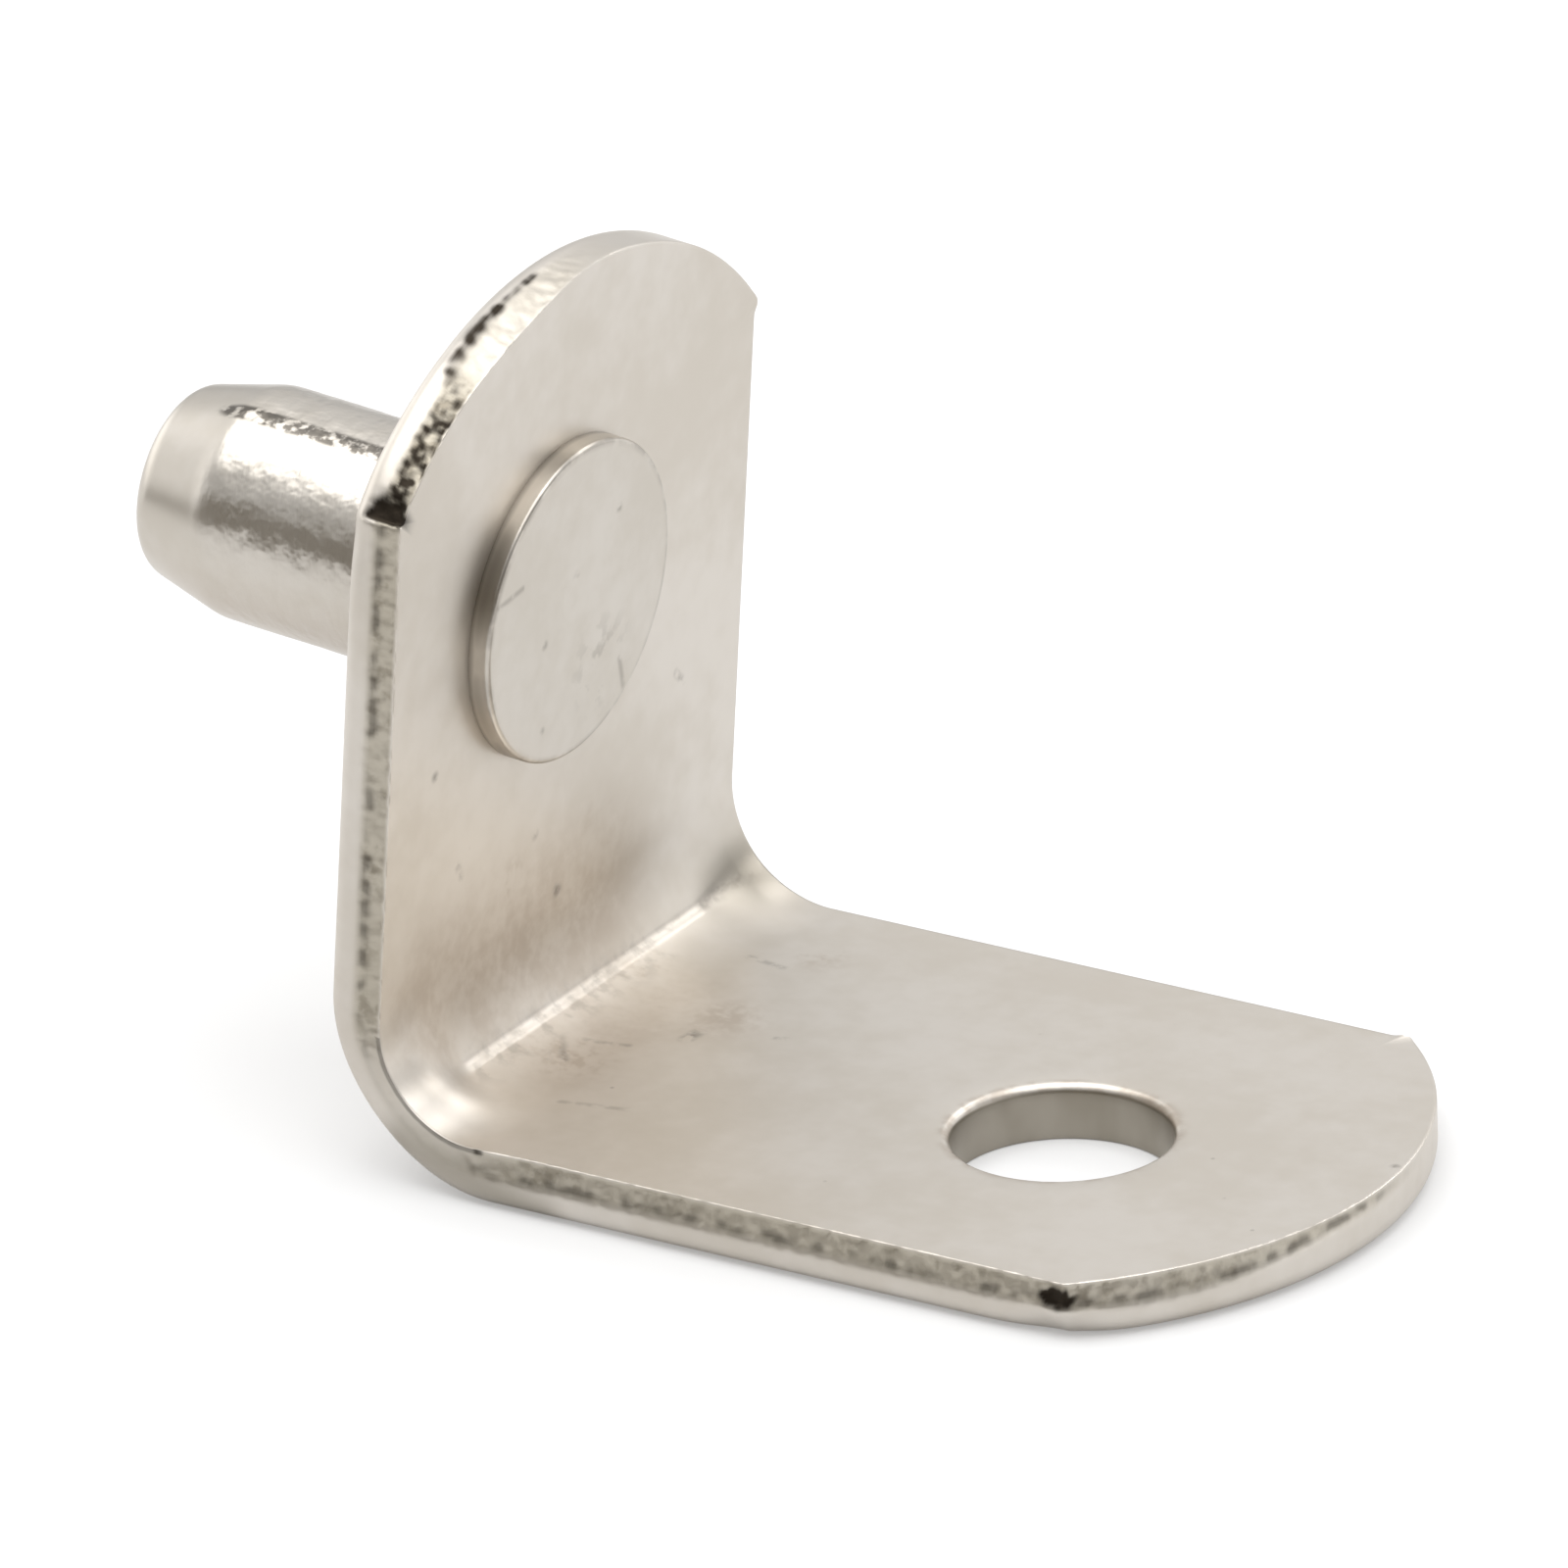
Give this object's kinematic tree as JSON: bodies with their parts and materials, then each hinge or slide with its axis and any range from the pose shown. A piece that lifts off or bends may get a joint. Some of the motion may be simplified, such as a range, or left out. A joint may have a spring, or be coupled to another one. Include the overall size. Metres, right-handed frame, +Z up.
{
  "type": "shelf support pin",
  "caption": "Bracket-style shelf support: a bent metal strip with arc ends, a tapered pin behind the upright for a cabinet hole, and a screw hole in the leg under the shelf.",
  "frame": {"origin": "on the pin's axis at the back face of the upright", "axes": "+Z up, square to the seat of the shelf leg; +X out under the shelf; Y across the strip. The pin leaves along -X and 5 degrees up, square to the upright."},
  "size_m": [0.0277, 0.0134, 0.0177],
  "materials": {
    "plated_strip": "satin nickel plate over stamped steel, lightly stained at the bend",
    "plated_pin": "bright nickel plate over a headed steel pin"
  },
  "bodies": {
    "root": {"bracket": "plated_strip", "pin": "plated_pin"}
  },
  "joints": []
}
